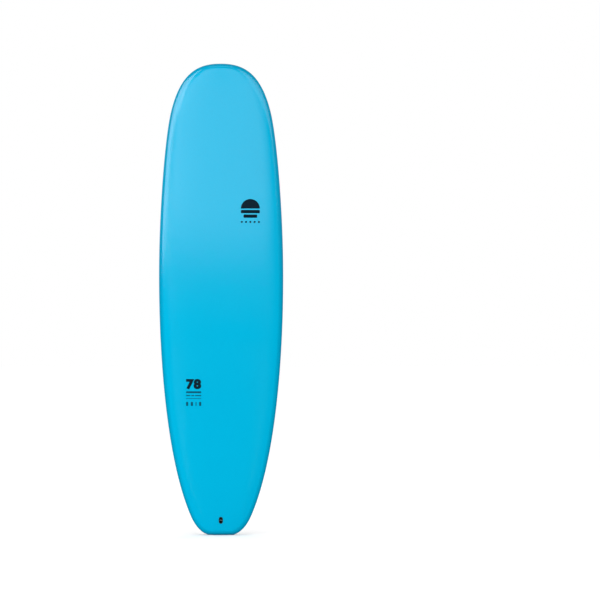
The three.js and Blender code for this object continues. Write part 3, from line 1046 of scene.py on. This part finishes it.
def badge_light(bm):
    """The pale half disc and bar on the badge."""
    disc(bm, 0, z=433, radius=8, stop=180, steps=24)
    bar(bm, 0, z=428, width=16, height=2.6)


def printed_marks():
    ink("deck_mark_print", deck_mark, True, DECK_INK)
    ink("deck_size_print", deck_size, True, DECK_INK)
    ink("deck_size_lines_print", deck_size_lines, True, DECK_FINE_INK)
    ink("bottom_mark_print", bottom_mark, False, BOTTOM_INK)
    ink("bottom_badge_print", bottom_badge, False, BOTTOM_INK)
    ink("badge_light_print", badge_light, False, PALE_INK, raise_by=0.1)


# ---- Studio ----
ROOM_IN_GLOSS = 0.1  # how bright the room is in reflections, in front of the deck
BACKDROP = (0.45, 0.9)  # the share of a reflection's direction towards +Y where it starts and is white
GLOW = ((-25, 5.2), (0, 3.6))  # the floor's radiance in reflections, at two bearings in degrees
GLOW_SIDES = (-42, -30, 20, 42)  # the bearings where it starts, is full, begins to fade and ends
GLOW_REACH = (4.5, 6.5, 18, 33)  # the distances in metres from the board where it does the same
SHEET_HALF = 40 / MM


def studio():
    """White to the camera and in diffuse light; reflections see a dim room and part of a bright floor."""
    world = bpy.data.worlds.new("studio")
    world.use_nodes = True
    world.cycles.sampling_method = "NONE"
    bpy.context.scene.world = world
    tree = Tree(world.node_tree)
    is_reflection = tree.new("ShaderNodeLightPath").outputs["Is Glossy Ray"]
    behind = tree.split(tree.new("ShaderNodeTexCoord").outputs["Generated"])["Y"]
    dimmed = tree.math("MULTIPLY", is_reflection, tree.ramp(behind, *BACKDROP, 1 - ROOM_IN_GLOSS, 0))
    strength = tree.math("SUBTRACT", 1, dimmed)
    tree.links.new(strength, tree.nodes["Background"].inputs["Strength"])
    tree.nodes["Background"].inputs["Color"].default_value = (1, 1, 1, 1)
    paint = Paint("floor", (0.95, 0.95, 0.95), 0.9, specular=0.0)
    floor = sheet("floor", 0, paint.set("Emission Strength", 0.06))
    floor.visible_glossy = False
    glow = sheet("floor_glow", 0.01, glow_paint())
    glow.visible_camera = glow.visible_diffuse = False
    glow.visible_shadow = glow.visible_transmission = False


def sheet(name, height, paint):
    """A flat square sheet of the studio, 80 m each way."""
    bm = bmesh.new()
    bmesh.ops.create_grid(bm, x_segments=1, y_segments=1, size=SHEET_HALF)
    bmesh.ops.translate(bm, vec=(0, 0, height / MM), verts=bm.verts)
    made = new_object(name, bm)
    made.data.materials.append(paint.set("Emission Color", (1, 1, 1, 1)).material)
    return made


def glow_paint():
    """A black sheet that glows in part; bearings run from straight in front of the deck."""
    p = Paint("floor_glow", (0, 0, 0), 1.0, specular=0.0)
    floor_at = p.split(p.coordinates)
    forward = p.math("MULTIPLY", floor_at["Y"], -1)
    bearing = p.math("DEGREES", p.math("ARCTAN2", floor_at["X"], forward))
    length = p.new("ShaderNodeVectorMath")
    length.operation = "LENGTH"
    p.links.new(p.coordinates, length.inputs[0])
    (low, low_glow), (high, high_glow) = GLOW
    glow = p.ramp(bearing, low, high, low_glow, high_glow)
    for source, limits in ((bearing, GLOW_SIDES), (length.outputs["Value"], GLOW_REACH)):
        glow = p.math("MULTIPLY", glow, p.ramp(source, *limits[:2], 0, 1))
        glow = p.math("MULTIPLY", glow, p.ramp(source, *limits[2:], 1, 0))
    p.links.new(glow, p.shader.inputs["Emission Strength"])
    return p


def softbox(name, at, aim, size, radiance, diffuse=True, gloss=True):
    """A rectangular light at a place, aimed at another, of a given size and radiance."""
    data = bpy.data.lights.new(name, "AREA")
    data.shape = "RECTANGLE"
    data.size, data.size_y = size
    data.energy = radiance * math.pi * size[0] * size[1]
    light = bpy.data.objects.new(name, data)
    light.location = at
    light.rotation_euler = (Vector(aim) - Vector(at)).to_track_quat("-Z", "Y").to_euler()
    light.visible_diffuse, light.visible_glossy = diffuse, gloss
    bpy.context.scene.collection.objects.link(light)


def lights():
    """Soft light from the left and above; the rail lights are seen only as highlights."""
    softbox("left", (-4.2, -3.9, 1.6), aim=(0, 0, 1.5), size=(5.4, 1.4), radiance=3.9, gloss=False)
    softbox("overhead", (0, -3.5, 6), aim=(0, 0, 1), size=(3, 3), radiance=1.6)
    softbox("left_rail", (-4.6, -3.5, 2.6), aim=(0, 0, 2.6), size=(4.2, 3.1), radiance=9.5, diffuse=False)
    softbox("right_rail", (4.1, -4.1, 2.7), aim=(0, 0, 2.7), size=(4.5, 2.8), radiance=4, diffuse=False)


# ---- Assembly ----
skin = deck_skin()
leash_plug(skin)
place(skin, "deck_foam", replaces=["deck_skin"])
slick = bottom_sheet()
fin_system(slick)
place(slick, "bottom_sheet", replaces=["bottom_slick"])
place(guard("nose_guard_visual", nose_arc, True), "guard", replaces=["nose_guard"])
place(guard("tail_guard_visual", tail_arc, False), "guard", replaces=["tail_guard"])
printed_marks()

KEPT_NODES = {
    "bottom_foam": "backing_foam",
    "core_left": "core_foam",
    "core_centre": "core_foam",
    "core_right": "core_foam",
    "stringer_left": "stringer_wood",
    "stringer_right": "stringer_wood",
}
for node, slot_name in KEPT_NODES.items():
    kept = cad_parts[node]
    kept.data.materials.clear()
    kept.data.materials.append(PAINTS[slot_name].material)

studio()
lights()
scene = bpy.context.scene
scene.view_settings.view_transform = "Standard"
scene.view_settings.look = "None"
